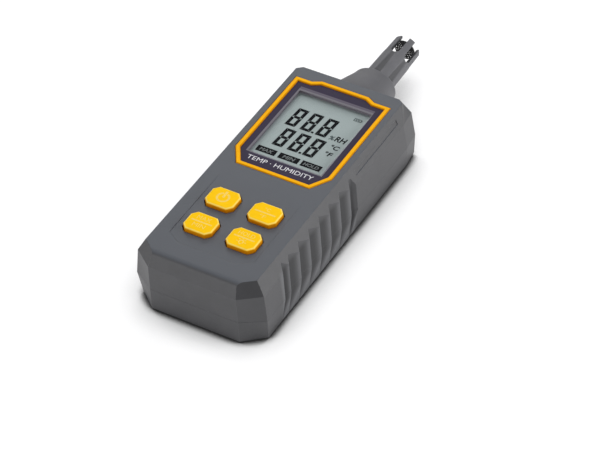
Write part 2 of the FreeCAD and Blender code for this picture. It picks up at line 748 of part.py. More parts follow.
def display():
    """Frame, lens, and the display module in its holder."""
    frame = new_body("frame_body", z="ledge")
    grow(frame, outline(frame, "outer", frame_outline("frame_band / 2")), "frame_thickness")
    ring = sink(frame, outline(frame, "inner", frame_outline("-frame_band / 2"), "frame_thickness"),
                "frame_thickness")
    doc.recompute()
    top = ring.Shape.BoundBox.ZMax
    round_edges(frame, ring, "frame_edge_radius", lambda vertex: math.isclose(vertex.Z, top))
    keep(frame, "display_frame")

    lens = new_body("lens_body", z="ledge")
    grow(lens, outline(lens, "plate", frame_outline("-frame_band / 2 - fit_gap")), "lens_thickness")
    keep(lens, "display_lens")

    half = "(window_half_width + lcd_margin)"
    start, length = "(window_bottom - lcd_margin)", "(window_top - window_bottom + 2 * lcd_margin)"
    keep(block("lcd", "0", start, "lcd_bottom", f"2 * {half}", length, "lcd_thickness"),
         "lcd_panel")

    holder = new_body("holder_body", z="board_top")
    wall = "(fit_gap + holder_wall)"
    height = "lcd_bottom - board_top + lcd_thickness / 2"
    grow(holder, outline(holder, "outer", rectangle(f"({half} + {wall})", f"{start} - {wall}",
                                                    f"{start} + {length} + {wall}")), height)
    inside = rectangle(f"({half} + fit_gap)", f"{start} - fit_gap", f"{start} + {length} + fit_gap")
    sink(holder, outline(holder, "inside", inside, "holder_floor"), height, True)
    zebra_start = f"({start} + fit_gap)"
    zebra_half = "window_half_width - zebra_margin"
    sink(holder, outline(holder, "zebra_slot", rectangle(f"({zebra_half} + fit_gap)", start,
                                                         f"{zebra_start} + zebra_depth + fit_gap"),
                         "holder_floor"), "holder_floor")
    keep(holder, "lcd_holder")
    keep(block("zebra", "0", zebra_start, "board_top", f"2 * ({zebra_half})", "zebra_depth",
               "lcd_bottom - board_top"), "zebra_strip")
    guide_start = f"({zebra_start} + zebra_depth + holder_wall)"
    guide_end = f"({start} + {length} - led_depth - fit_gap)"
    keep(block("guide", "0", guide_start, "guide_base", "2 * window_half_width",
               f"{guide_end} - {guide_start}", "lcd_bottom - guide_base"), "light_guide")
    keep(block("led", "0", guide_end, "guide_base", "led_width", "led_depth",
               "lcd_bottom - guide_base - led_clearance"), "backlight_led")


# Electronics

def electronics():
    """Circuit board, its parts, and the header that holds the sensing strip."""
    board = new_body("board_body", z="board_bottom")
    plate = mirror_points([
        ("board_half_width", "board_start"), ("board_half_width", "board_shoulder"),
        ("board_neck_half_width", "board_shoulder"), ("board_neck_half_width", "board_end")])
    grow(board, outline(board, "plate", plate), "board_thickness")
    sink(board, circles(board, "holes", BOARD_SCREWS, "(board_screw_radius + fit_gap)", "board_thickness"),
         "board_thickness")
    keep(board, "main_board")

    keep(block("chip", "0", "board_end - chip_far_margin", "board_bottom - chip_height",
               "chip_side", "chip_side", "chip_height"), "main_chip")
    parts = [bar("crystal", "chip_side", "board_end - crystal_far_margin", "board_bottom - crystal_radius",
                 "crystal_radius", "crystal_length", lengthwise=True)]
    for i in range(CAPACITORS):
        parts.append(block(f"capacitor_{i + 1}", f"({i} - ({CAPACITORS} - 1) / 2) * capacitor_pitch",
                           "board_end - capacitor_far_margin", "board_bottom - capacitor_height",
                           "capacitor_width", "capacitor_length", "capacitor_height"))
    keep(grouped("board_part_set", parts), "board_parts")

    strip_bottom = "collar_axis_height - strip_thickness / 2"
    bottom = f"({strip_bottom} - header_skin)"
    header = block("header_block", "0", "header_start", bottom, "2 * header_half_width", "header_depth",
                   f"board_bottom - {bottom}")
    socket = block("header_socket", "0", "header_start + header_depth - header_grip", strip_bottom,
                   "2 * strip_half_width", "header_grip + overrun", "strip_thickness")
    keep(cut_by("header", header, [socket]), "board_header")


def keypad():
    """Rubber mat, four keys and the pills under them."""
    mat = new_body("mat_body", z="board_top")
    half = "(board_screw_half_pitch - board_boss_radius - mat_side_gap)"
    reach = "(key_row_pitch / 2 + key_half_depth + mat_margin)"
    grow(mat, outline(mat, "sheet", rectangle(half, f"keypad_centre - {reach}", f"keypad_centre + {reach}")),
         "mat_thickness")
    holes = attached_sketch(mat, "holes", "mat_thickness")
    for label in KEYS:
        x, y = key_centre(label)
        add_outline(holes, rectangle("(key_post_half_width + mat_clearance)",
                                     f"{y} - key_post_half_depth - mat_clearance",
                                     f"{y} + key_post_half_depth + mat_clearance", x))
    sink(mat, holes, "mat_thickness")
    keep(mat, "key_mat")
    for label in KEYS:
        key(label)


def key(label):
    """One key: a cap, a flange that stops it under the face, and a post with a pill."""
    x, y = key_centre(label)
    flange_z = "(ceiling - key_flange_thickness)"
    body = new_body(label + "_body", x, y)
    grow(body, outline(body, "flange", key_outline("key_flange"), flange_z), "key_flange_thickness")
    cap = grow(body, outline(body, "cap", key_outline("0"), "ceiling"), "key_top - ceiling")
    doc.recompute()
    top = cap.Shape.BoundBox.ZMax
    round_edges(body, cap, "key_edge_radius", lambda vertex: math.isclose(vertex.Z, top))
    grow(body, outline(body, "post", rectangle("key_post_half_width", "-key_post_half_depth",
                                               "key_post_half_depth"), "post_bottom"),
         f"{flange_z} - post_bottom")
    keep(body, label)
    keep(bar(label + "_pill_bar", x, y, "post_bottom - pill_thickness", "pill_radius", "pill_thickness"),
         label + "_pill")


# Probe

def rounded_end(name, base, radius):
    """A solid with its outer rim at the far end rounded."""
    doc.recompute()
    end = base.Shape.BoundBox.YMax
    thing = doc.addObject("Part::Fillet", name)
    thing.Base = base
    thing.Edges = [(i, SIZES[radius], SIZES[radius]) for i, edge in enumerate(base.Shape.Edges, 1)
                   if math.isclose(edge.BoundBox.YMin, end, abs_tol=Part.Precision.approximation())]
    return thing


def collar():
    """Tapering nose with a lip inside the case and a stepped bore."""
    sections = []
    for i in range(COLLAR_SECTIONS + 1):
        share = i / COLLAR_SECTIONS
        width = (1 - share) ** COLLAR_POWER * (1 + COLLAR_SWELL * share)
        sections.append(oval(f"collar_section_{i}",
                             f"(collar_end_radius + (collar_half_width - collar_end_radius) * {width:.9f})",
                             COLLAR_ROOT_SHARE + (COLLAR_END_SHARE - COLLAR_ROOT_SHARE) * share,
                             f"case_length + collar_length * {share:.9f}"))
    nose = doc.addObject("Part::Loft", "collar_nose")
    nose.Sections = sections
    nose.Solid = True
    lip_end = "case_length - side_wall - shoulder_far_inset + scallop_depth / 2 - fit_gap"
    lip_start = f"({lip_end} - collar_lip_thickness)"
    root = doc.addObject("Part::Loft", "collar_root_part")
    root.Sections = [oval("collar_root_0", "collar_half_width", COLLAR_ROOT_SHARE, lip_start),
                     oval("collar_root_1", "collar_half_width", COLLAR_ROOT_SHARE, "case_length")]
    root.Solid = True
    root.Ruled = True
    lip = block("collar_lip_plate", "0", lip_start, "collar_axis_height - collar_lip_height / 2",
                "2 * (collar_half_width + collar_lip)", "collar_lip_thickness", "collar_lip_height")
    blank = joined("collar_blank", [rounded_end("collar_rounded", nose, "collar_rim_radius"), root, lip])
    seat = "(collar_end - probe_stop_depth)"
    wide = bar("collar_wide_bore", "0", f"{lip_start} - overrun", "collar_axis_height",
               "probe_stop_radius + fit_gap", f"{seat} - {lip_start} + overrun", lengthwise=True)
    narrow = bar("collar_bore", "0", lip_start, "collar_axis_height", "probe_root_radius + fit_gap",
                 f"collar_end + overrun - {lip_start}", lengthwise=True)
    keep(cut_by("collar", blank, [wide, narrow]), "probe_collar")


def tube():
    """Probe tube: a stop inside the collar, flutes, and slotted prongs at the tip."""
    start = "(collar_end - probe_stop_depth - probe_stop_thickness)"
    stop = bar("probe_stop", "0", start, "collar_axis_height", "probe_stop_radius", "probe_stop_thickness",
               lengthwise=True)
    shank = bar("probe_shank", "0", start, "collar_axis_height", "probe_root_radius",
                f"collar_end - {start}", lengthwise=True)
    taper = doc.addObject("Part::Cone", "probe_taper")
    taper.Placement = FreeCAD.Placement(FreeCAD.Vector(), LENGTHWISE)
    bind(taper, Radius1="probe_root_radius", Radius2="probe_tip_radius", Height="probe_length")
    place(taper, "0", "collar_end", "collar_axis_height")
    prongs = rounded_end("probe_prongs", taper, "probe_tip_rounding")
    bore = bar("probe_bore", "0", f"{start} - overrun", "collar_axis_height", "probe_bore_radius",
               f"tip - {start} + 2 * overrun", lengthwise=True)
    tools = [bore]
    for i in range(SLOTS // 2):
        tools += slot_tools(i)
    for i in range(SLOTS):
        tools.append(flute_tool(i))
    keep(cut_by("tube", joined("tube_blank", [stop, shank, prongs]), tools), "probe_tube")


def slot_turn(i):
    """Turn about the probe's axis to the i-th slot."""
    return FreeCAD.Rotation(FreeCAD.Vector(0, 1, 0), i * 360 / SLOTS)


def slot_tools(i):
    """Box and round bar that cut a pair of opposite slots, with round bottoms."""
    across, up = slot_turn(i).multVec(FreeCAD.Vector(1, 0, 0)), slot_turn(i).multVec(FreeCAD.Vector(0, 0, 1))
    tools = []
    for kind, half in (("Box", "slot_width / 2"), ("Cylinder", "0")):
        tool = doc.addObject("Part::" + kind, f"slot_{i}_{kind.lower()}")
        tool.Placement = FreeCAD.Placement(FreeCAD.Vector(), slot_turn(i))
        bind(tool, Height="2 * probe_root_radius")
        corner = [f"-({half}) * ({a:.9f}) - probe_root_radius * ({b:.9f})" for a, b in zip(across, up)]
        place(tool, corner[0], "tip - slot_length + slot_width / 2", f"collar_axis_height {corner[2]}")
        tools.append(tool)
    bind(tools[0], Length="slot_width", Width="slot_length + overrun")
    bind(tools[1], Radius="slot_width / 2")
    return tools


def flute_tool(i):
    """Round bar that cuts the shallow flute below the i-th slot."""
    up = slot_turn(i).multVec(FreeCAD.Vector(0, 0, 1))
    reach = "(probe_tip_radius - flute_depth + flute_radius)"
    return bar(f"flute_{i}", f"{reach} * ({up.x:.9f})", "collar_end - overrun",
               f"collar_axis_height + {reach} * ({up.z:.9f})", "flute_radius",
               "probe_length + 2 * overrun", lengthwise=True)


def sensors():
    """Sensing strip with its two sensors, and the cap between the prongs."""
    start = "(header_start + header_depth - header_grip)"
    keep(block("strip", "0", start, "collar_axis_height - strip_thickness / 2", "2 * strip_half_width",
               f"strip_end - {start}", "strip_thickness"), "sensor_board")
    keep(block("humidity", "0", "tip - humidity_inset - humidity_side", "strip_top", "humidity_side",
               "humidity_side", "humidity_height"), "humidity_sensor")
    keep(bar("thermistor", "0", "tip - thermistor_inset - thermistor_length", "strip_top + thermistor_radius",
             "thermistor_radius", "thermistor_length", lengthwise=True), "temperature_sensor")
    keep(bar("cap", "0", "strip_end", "collar_axis_height", "cap_radius", "cap_thickness", lengthwise=True),
         "sensor_cap")


# Battery compartment

def batteries():
    """Three cells, laid head to tail, with their plates and springs."""
    far = "(tray_end - contact_thickness)"
    near = "(tray_start + contact_thickness)"
    for number in (1, 2, 3):
        reverse = number == 2
        x = f"({number} - 2) * cell_pitch"
        start = f"({near} + cell_nub_length)" if reverse else f"({near} + spring_length)"
        nub = near if reverse else f"({start} + cell_length)"
        keep(joined(f"cell_{number}", [
            bar(f"cell_can_{number}", x, start, "cell_height", "cell_radius", "cell_length", True),
            bar(f"cell_nub_{number}", x, nub, "cell_height", "cell_nub_radius", "cell_nub_length", True)]),
            f"battery_cell_{number}")
    single, double = "contact_width", "(cell_pitch + contact_width)"
    plates = []
    for name, x, y, width in (("first", "-cell_pitch", "tray_start", single),
                              ("near", "cell_pitch / 2", "tray_start", double),
                              ("far", "-cell_pitch / 2", far, double), ("last", "cell_pitch", far, single)):
        plates.append(block(f"{name}_plate", x, y, "contact_base", width, "contact_thickness",
                            "contact_height"))
    for index, name, x, y in ((0, "first", "-cell_pitch", "tray_start"), (3, "last", "cell_pitch", far)):
        tail = block(f"{name}_tail", x, y, "contact_base", "contact_tail_width", "contact_thickness",
                     "board_bottom - contact_base")
        plates[index] = joined(f"{name}_contact", [plates[index], tail])
    keep(grouped("plate_set", plates), "contact_plates")
    keep(grouped("spring_set", [
        spring("first_spring", "-cell_pitch", near), spring("near_spring", "cell_pitch", near),
        spring("far_spring", "0", f"({far} - spring_length)")]), "contact_springs")


def spring(name, x, y):
    """Coil spring between a plate and a cell: a wire carried along a helix of arcs."""
    radius, rise = SIZES["spring_radius"], SIZES["spring_length"] - 2 * SIZES["spring_wire_radius"]
    steps = SPRING_TURNS * ARCS_PER_TURN
    turn = 2 * math.pi / ARCS_PER_TURN

    def spot(i):
        return FreeCAD.Vector(radius * math.cos(i * turn), rise * i / steps, radius * math.sin(i * turn))

    def way(i):
        return FreeCAD.Vector(-radius * turn * math.sin(i * turn), rise / steps,
                              radius * turn * math.cos(i * turn))

    arcs = []
    for i in range(steps):
        middle = meeting_point(spot(i), way(i), spot(i + 1), way(i + 1))
        arcs += [tangent_arc(spot(i), way(i), middle), tangent_arc(spot(i + 1), -way(i + 1), middle)]
    print(name, "least gap to itself", round(least_gap(arcs), 2))
    section = Part.Wire(Part.Circle(spot(0), way(0), SIZES["spring_wire_radius"]).toShape())
    wire = doc.addObject("Part::Feature", name)
    wire.Shape = Part.Wire(arcs).makePipeShell([section], True, False)
    place(wire, x, f"{y} + spring_wire_radius", "cell_height")
    return wire


def least_gap(arcs):
    """Least free distance between two turns, measured on points of the wire's middle line."""
    points = [point for arc in arcs for point in arc.discretize(POINTS_PER_ARC)]
    half_turn = ARCS_PER_TURN * POINTS_PER_ARC
    apart = min(a.distanceToPoint(b) for i, a in enumerate(points) for b in points[i + half_turn:])
    return apart - 2 * SIZES["spring_wire_radius"]


def meeting_point(a, way_a, b, way_b):
    """Where two arcs meet that leave a and reach b in the given directions."""
    u, v = FreeCAD.Vector(way_a).normalize(), FreeCAD.Vector(way_b).normalize()
    chord, slack = b - a, 2 * (1 - u.dot(v))
    along = chord.dot(u + v)
    reach = (math.sqrt(along * along + slack * chord.dot(chord)) - along) / slack
    return (a + b + (u - v) * reach) / 2


def tangent_arc(start, way, end):
    """Arc that leaves start in one direction and passes through end."""
    u = FreeCAD.Vector(way).normalize()
    chord = end - start
    corner = start + u * (chord.dot(chord) / (2 * chord.dot(u)))
    half = (start + end) / 2
    side = (corner - half).normalize()
    bend = chord.getAngle(u)
    return Part.Arc(start, half + side * (chord.Length / 2 * math.tan(bend / 2)), end).toShape()


def battery_door():
    """Cover of the battery compartment, with two tabs that hook into the tray's far wall."""
    body = new_body("door_body")
    start = "(tray_start - door_rim + door_gap)"
    grow(body, outline(body, "plate", rectangle("(tray_half_width + door_rim - door_gap)", start,
                                                "tray_end + door_rim - door_gap")), "door_thickness")
    for side, x in (("left", "-cell_pitch / 2"), ("right", "cell_pitch / 2")):
        root_start = "tray_end - door_gap - door_tab_root"
        grow(body, outline(body, f"{side}_root", rectangle("(door_tab_width / 2)", root_start,
                                                           "tray_end - door_gap", x), "door_thickness"),
             "floor_wall + fit_gap + door_tab_thickness - door_thickness")
        grow(body, outline(body, f"{side}_tab", rectangle("(door_tab_width / 2)", root_start,
                                                          "tray_end + door_rim + door_tab_reach", x),
                           "floor_wall + fit_gap"), "door_tab_thickness")
    sink(body, circles(body, "thumb", [("0", f"{start} + door_thumb_inset")], "door_thumb_radius"),
         "door_thumb_depth", True)
    keep(body, "battery_door")


def check_and_write():
    """Stops on any failed object, then writes one file for each piece."""
    doc.recompute()
    for thing in doc.Objects:
        if {"Invalid", "Error"} & set(thing.State):
            raise RuntimeError(f"{thing.Name} failed: {thing.State}")
    for label, thing in nodes.items():
        if thing.Shape.isNull() or not thing.Shape.isValid() or not thing.Shape.Solids:
            raise RuntimeError(f"{label} has no valid solid")
    os.makedirs("parts", exist_ok=True)
    for label, thing in nodes.items():
        thing.Shape.exportStep(os.path.join("parts", label + ".step"))
        print(label, len(thing.Shape.Solids), round(thing.Shape.Volume, 1))


make_sheet()
front_shell()
rear_shell()
screws()
display()
electronics()
keypad()
collar()
tube()
sensors()
batteries()
battery_door()
check_and_write()
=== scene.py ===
import json
import math

import bpy
import numpy as np
from mathutils import Matrix, Vector


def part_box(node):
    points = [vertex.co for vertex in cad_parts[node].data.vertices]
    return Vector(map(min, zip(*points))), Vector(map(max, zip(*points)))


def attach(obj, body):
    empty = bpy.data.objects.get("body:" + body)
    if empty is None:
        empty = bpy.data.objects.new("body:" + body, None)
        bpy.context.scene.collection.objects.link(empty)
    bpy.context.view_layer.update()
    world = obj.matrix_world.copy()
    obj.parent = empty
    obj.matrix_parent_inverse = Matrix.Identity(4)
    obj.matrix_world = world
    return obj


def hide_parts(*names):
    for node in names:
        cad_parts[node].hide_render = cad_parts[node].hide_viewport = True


# Looks of a digital thermo-hygrometer. Metres, Z up, display up, probe towards +Y.

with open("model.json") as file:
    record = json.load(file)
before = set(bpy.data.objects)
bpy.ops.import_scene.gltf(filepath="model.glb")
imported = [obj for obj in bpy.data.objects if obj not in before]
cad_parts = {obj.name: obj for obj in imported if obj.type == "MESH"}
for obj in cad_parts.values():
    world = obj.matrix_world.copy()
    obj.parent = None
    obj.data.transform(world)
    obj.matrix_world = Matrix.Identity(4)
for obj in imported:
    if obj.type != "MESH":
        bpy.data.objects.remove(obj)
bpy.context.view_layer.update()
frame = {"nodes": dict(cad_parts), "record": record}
MM = 0.001


def corners(node):
    """Lowest and highest corner of a CAD node, as arrays in metres."""
    return [np.array(shaded_corner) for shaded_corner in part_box(node)]


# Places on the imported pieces

SHELL_LOW, SHELL_HIGH = corners("front_shell")
SIDE_X, BUTT_Y, CREASE_Z = SHELL_HIGH[0], SHELL_LOW[1], SHELL_LOW[2]
LCD_LOW, LCD_HIGH = corners("lcd_panel")
LCD_MARGIN = 1.2 * MM
WINDOW_LOW, WINDOW_HIGH = LCD_LOW + LCD_MARGIN, LCD_HIGH - LCD_MARGIN
LENS_LOW, LENS_HIGH = corners("display_lens")
KEY_TOP = corners("power_key")[1][2]
TUBE_TIP_Y = corners("probe_tube")[1][1]
CAP_LOW, CAP_HIGH = corners("sensor_cap")
CAP_RADIUS = (CAP_HIGH[0] - CAP_LOW[0]) / 2
PROBE_Z = (CAP_LOW[2] + CAP_HIGH[2]) / 2


# Shader expressions

class Value:
    """A shader socket that takes part in Python arithmetic. Each operation adds one Math node."""

    __array_ufunc__ = None  # numpy numbers leave arithmetic with a Value to this class

    def __init__(self, tree, socket):
        self.tree = tree
        self.socket = socket

    def math(self, operation, *others):
        """Math node whose inputs are this value and the others."""
        node = self.tree.nodes.new("ShaderNodeMath")
        node.operation = operation
        for slot, item in zip(node.inputs, (self, *others)):
            connect(self.tree, slot, item)
        return Value(self.tree, node.outputs[0])

    def __add__(self, other):
        return self.math("ADD", other)

    def __sub__(self, other):
        return self.math("SUBTRACT", other)

    def __mul__(self, other):
        return self.math("MULTIPLY", other)

    def __truediv__(self, other):
        return self.math("DIVIDE", other)

    def __rsub__(self, other):
        return self.math("MULTIPLY", -1).math("ADD", other)

    def __abs__(self):
        return self.math("ABSOLUTE")

    def __pow__(self, other):
        return self.math("POWER", other)

    __radd__ = __add__
    __rmul__ = __mul__

    def step(self, low, high):
        """0 at low, 1 at high, and a smooth rise between; high may be the lower number."""
        share = ((self - low) / (high - low)).most(0).least(1)
        return share * share * (3 - 2 * share)

    def least(self, other):
        """The lower of this value and the other."""
        return self.math("MINIMUM", other)

    def most(self, other):
        """The higher of this value and the other."""
        return self.math("MAXIMUM", other)


def connect(tree, slot, item):
    """Feeds a socket from a value, a colour or a number."""
    if isinstance(item, Value):
        tree.links.new(item.socket, slot)
    elif hasattr(item, "__len__"):
        slot.default_value = (*item, 1) if len(item) < len(slot.default_value) else item
    else:
        slot.default_value = item


# Strength of the painted highlight on edges
EDGE_HIGHLIGHT_GAIN = 14


class Finish:
    """One material: its nodes are added by calls, and the principled shader's sockets are fed by name."""

    def __init__(self, name):
        self.material = bpy.data.materials.new(name)
        self.material.use_nodes = True
        self.tree = self.material.node_tree
        self.tree.nodes.clear()
        self.shader = self.tree.nodes.new("ShaderNodeBsdfPrincipled")
        output = self.tree.nodes.new("ShaderNodeOutputMaterial")
        self.tree.links.new(self.shader.outputs[0], output.inputs[0])

    def node(self, kind, settings=None, out=0, **inputs):
        """One output of a new node: its settings are set first, then its sockets are fed. A socket goes by
        its name, with _ for a space, or by _ and its number."""
        made = self.tree.nodes.new("ShaderNode" + kind)
        for name, value in (settings or {}).items():
            setattr(made, name, value)
        for name, item in inputs.items():
            number = name[1:]
            key = int(number) if number.isdigit() else name.replace("_", " ")
            connect(self.tree, made.inputs[key], item)
        return Value(self.tree, made.outputs[out])

    def parts(self, vector):
        """x, y and z of a point or a normal."""
        split = self.tree.nodes.new("ShaderNodeSeparateXYZ")
        connect(self.tree, split.inputs[0], vector)
        return [Value(self.tree, part) for part in split.outputs]

    def point(self):
        """The shaded point in the object's own frame."""
        return self.node("TexCoord", out="Object")

    def true_normal(self):
        """Normal of the face itself, without bump or rounding."""
        return self.node("NewGeometry", out="True Normal")

    def noise(self, scale, detail=3, distortion=0):
        """Noise from 0 to 1 with scale features in a metre."""
        return self.node("TexNoise", out="Fac", Vector=self.point(), Scale=scale, Detail=detail,
                         Roughness=0.55, Distortion=distortion)

    def mix(self, share, first, second):
        """Colour between first and second by share."""
        return self.node("Mix", {"data_type": "RGBA"}, out=2, _0=share, _6=first, _7=second)

    def bump(self, height, distance, strength, **base):
        """Normal tilted by a height field of the given depth in metres, on a base Normal if one is given."""
        return self.node("Bump", Strength=strength, Distance=distance, Height=height, **base)

    def rounded(self, radius):
        """Normal that rounds every hard edge by a radius in metres."""
        return self.node("Bevel", {"samples": 6}, Radius=radius)

    def edge_highlight(self, round_normal):
        """Share of painted highlight on edges: 0 on flats and more than 1 on sharp edges, by how far the
        rounded normal leans off the true one.
        """
        dot = self.node("VectorMath", {"operation": "DOT_PRODUCT"}, out="Value", _0=round_normal,
                        _1=self.true_normal())
        return (1 - dot) * EDGE_HIGHLIGHT_GAIN

    def set(self, **sockets):
        """Feeds the principled shader's sockets, whose names have _ for a space."""
        for name, item in sockets.items():
            connect(self.tree, self.shader.inputs[name.replace("_", " ")], item)
        return self.material


def scaled(colour, factor):
    """Colour made darker or paler by a factor."""
    return [part * factor for part in colour]


# Colours are linear reflectances

GREY = (0.052, 0.052, 0.056)
GREY_LIT_FACE = (0.064, 0.073, 0.089)
GREY_HIGHLIGHT = (0.12, 0.122, 0.13)
# Dark grey for painted shade, and for the real dark parting line
GREY_SHADE_AND_JOINT = (0.012, 0.012, 0.014)
# Painted light: the collar and the probe take paler copies of the case grey, for more light on them.
COLLAR_GREY_LIT = scaled(GREY, 1.9)
PROBE_GREY_LIT = scaled(GREY, 2.2)
WINDOW_WALL_LIT_TONE = (0.62, 0.54, 0.66)
YELLOW = (0.95, 0.45, 0.004)
# Sides are a deeper colour with painted shade; the frame's rim is painted shade, the keys' rim a painted
# highlight
YELLOW_SIDE_DEEPER_AND_SHADED = (0.55, 0.17, 0.003)
YELLOW_RIM_SHADE = (0.5, 0.16, 0.003)
YELLOW_SHINE = (1.0, 0.65, 0.1)
KEY_YELLOW = (1.0, 0.585, 0.003)
KEY_SIDE_DEEPER_AND_SHADED = (0.75, 0.26, 0.003)
KEY_RIM_HIGHLIGHT = (1.0, 0.78, 0.2)
LEGEND = (1.0, 0.7, 0.15)
LENS_CLEAR = (0.5, 0.5, 0.52)
LENS_DARK = (0.048, 0.04, 0.065)
LENS_HIGHLIGHT_AND_SHADE = (0.15, 0.135, 0.165)
LETTER_WHITE = (0.8, 0.8, 0.82)
LCD_GREEN = (0.34, 0.4, 0.395)
LCD_SPARKLE = (0.5, 0.55, 0.54)
LCD_BLACK = (0.004, 0.0045, 0.006)
LCD_FAINT = (0.06, 0.08, 0.082)
LCD_GREY = (0.2, 0.22, 0.22)
LACQUER_GREEN = (0.012, 0.09, 0.035)
TRACK_GREEN = (0.05, 0.22, 0.08)
CHAMPAGNE = (0.62, 0.56, 0.4)
SLEEVE_BLACK = (0.02, 0.02, 0.022)

# Tones of the case, mostly painted light and shade: a paler top, shaded upper corners, shaded valleys and
# highlighted crests on the grips, and a pale tone on the window's shaded wall. Each pair is where a tone
# starts and where it is full: tilts are parts of the normal, lengths are from the key end, depths are under
# the ridges of the grips, insets are inside the window, and heights are above the crease, but for GRIP_FOOT,
# which is above the back.
LIT_FACE_TILTS, SHADED_CORNER_TILTS = (0.6, 0.95), (0.15, 0.3)
SHADED_CORNER_LENGTHS = 12 * MM, 10 * MM
GRIP_START, GRIP_END = (16 * MM, 18 * MM), (70.5 * MM, 68.5 * MM)
GRIP_TOP, GRIP_FOOT = (13 * MM, 10 * MM), (0.1 * MM, 0.6 * MM)
SHADED_VALLEY_DEPTHS, LIT_CREST_DEPTHS = (0.2 * MM, 0.8 * MM), (0.45 * MM, 0)
PARTING_LINE = 0.2 * MM, 0.1 * MM
LIT_WALL_INSETS, LIT_WALL_HEIGHTS = (-0.05 * MM, -0.02 * MM), (6 * MM, 7 * MM)

# Flats of the ridges: half width at height 0 less the case's own, and its change with height. Height is
# above the crease for the upper flat and the bevel, and above the back for the lower flat.
UPPER_FLAT, BEVEL_FLAT, LOWER_FLAT = (-0.3 * MM, -0.09), (5.1 * MM, -0.545), (-0.8 * MM, 0.08)

TUBE_TIP_RADIUS, TUBE_ROOT_RADIUS, TUBE_LENGTH = 5.75 * MM, 6.2 * MM, 25 * MM
# Painted shade in the flutes: where it starts and where it is full, under the taper
SHADED_FLUTE_DEPTHS = 0.04 * MM, 0.35 * MM


def moulded_grey(name, base, tones=None, roughness=0.46):
    """Fine-grained moulded plastic: mottled, with a painted highlight on its edges. tones adds what only one
    piece has.
    """
    finish = Finish(name)
    smooth = finish.rounded(0.28 * MM)
    mottle = finish.noise(140, detail=4).step(0.3, 0.7)
    colour = finish.mix(mottle, scaled(base, 0.94), scaled(base, 1.06))
    # Painted highlight: edges are painted paler, broken up by noise.
    edge_light = finish.edge_highlight(smooth).least(0.8) * finish.noise(900).step(0.25, 0.6)
    colour = finish.mix(edge_light, colour, GREY_HIGHLIGHT)
    if tones:
        colour = tones(finish, colour)
    grain = finish.noise(1300, detail=2)
    return finish.set(Base_Color=colour, Roughness=roughness - 0.05 + 0.1 * grain,
                      Normal=finish.bump(grain, 0.04 * MM, 0.2, Normal=smooth))


def case_tones(finish, colour):
    """Colour with what only the case has: a face painted paler and bluer for the light on it, painted shade
    on the upper corners at the key end, painted shade in the valleys and painted highlights on the crests of
    the grips, a parting line, and the window's shaded wall painted pale lilac for the light on it. A point's
    depth is the least half width of the ridges' three flats at its height, less the point's distance from the
    middle."""
    x, y, z = finish.parts(finish.point())
    across, forward, up = finish.parts(finish.true_normal())
    length, height = y - BUTT_Y, z - CREASE_Z
    # Painted light: up-facing faces are painted paler and bluer.
    colour = finish.mix(up.step(*LIT_FACE_TILTS) * 0.8, colour, GREY_LIT_FACE)
    # Painted shade: upper corner facets near the key end are painted darker.
    shaded_corner = up.step(*SHADED_CORNER_TILTS) * abs(across).step(*SHADED_CORNER_TILTS) * (0 - forward).step(*SHADED_CORNER_TILTS)
    colour = finish.mix(shaded_corner * length.step(*SHADED_CORNER_LENGTHS) * 0.4, colour, GREY_SHADE_AND_JOINT)
    upper, bevel, lower = (SIDE_X + offset + change * rise for (offset, change), rise in
                           ((UPPER_FLAT, height), (BEVEL_FLAT, height), (LOWER_FLAT, z)))
    depth = upper.least(bevel).least(lower) - abs(x)
    grip = length.step(*GRIP_START) * length.step(*GRIP_END) * height.step(*GRIP_TOP) * z.step(*GRIP_FOOT)
    # Painted shade in the grips' valleys, and painted highlights on their crests.
    colour = finish.mix(grip * depth.step(*SHADED_VALLEY_DEPTHS), colour, GREY_SHADE_AND_JOINT)
    colour = finish.mix(grip * depth.step(*LIT_CREST_DEPTHS) * 0.7, colour, GREY_HIGHLIGHT)
    colour = finish.mix(abs(height).step(*PARTING_LINE) * 0.5, colour, GREY_SHADE_AND_JOINT)
    # Painted light: the shaded wall of the window is painted pale lilac.
    wall = inside_window(x, y).step(*LIT_WALL_INSETS) * height.step(*LIT_WALL_HEIGHTS)
    return finish.mix(wall, colour, WINDOW_WALL_LIT_TONE)


def inside_window(x, y):
    """How far a point lies inside the window's outline, which is even about x = 0: its least distance from
    the four sides, negative outside."""
    half_width, half_length = ((WINDOW_HIGH - WINDOW_LOW) / 2)[:2]
    middle_y = (WINDOW_LOW[1] + WINDOW_HIGH[1]) / 2
    return (half_width - abs(x)).least(half_length - abs(y - middle_y))


def tube_tones(finish, colour):
    """Colour of the probe tube with painted shade in its flutes and inside, by how far a point lies under the
    taper, whose radius grows evenly from the tip to the root."""
    x, y, z = finish.parts(finish.point())
    taper = TUBE_TIP_RADIUS + (TUBE_ROOT_RADIUS - TUBE_TIP_RADIUS) / TUBE_LENGTH * (TUBE_TIP_Y - y)
    radius = (x * x + (z - PROBE_Z) ** 2).math("SQRT")
    return finish.mix((taper - radius).step(*SHADED_FLUTE_DEPTHS) * 0.6, colour, GREY_SHADE_AND_JOINT)


def painted_yellow(name, top, side, rim_light_shade, radius):
    """Coloured plastic or rubber: one colour on its top, a deeper colour with painted shade on its sides, and
    painted light of the given rim tone on the slopes between: a highlight for the keys, shade for the frame.
    """
    finish = Finish(name)
    smooth = finish.rounded(radius)
    up = finish.parts(finish.true_normal())[2]
    mottle = finish.noise(260).step(0.3, 0.7)
    # Painted shade on the sides, and painted light on the slopes between top and sides.
    colour = finish.mix(up.step(0.1, 0.7), side, finish.mix(mottle, scaled(top, 0.96), top))
    colour = finish.mix(up.step(0.35, 0.75) * up.step(0.995, 0.9) * 0.7, colour, rim_light_shade)
    grain = finish.noise(1400, detail=2)
    return finish.set(Specular_IOR_Level=0.06, Specular_Tint=YELLOW_SHINE, Base_Color=colour,
                      Roughness=0.4 + 0.08 * grain, Normal=finish.bump(grain, 0.02 * MM, 0.15, Normal=smooth))


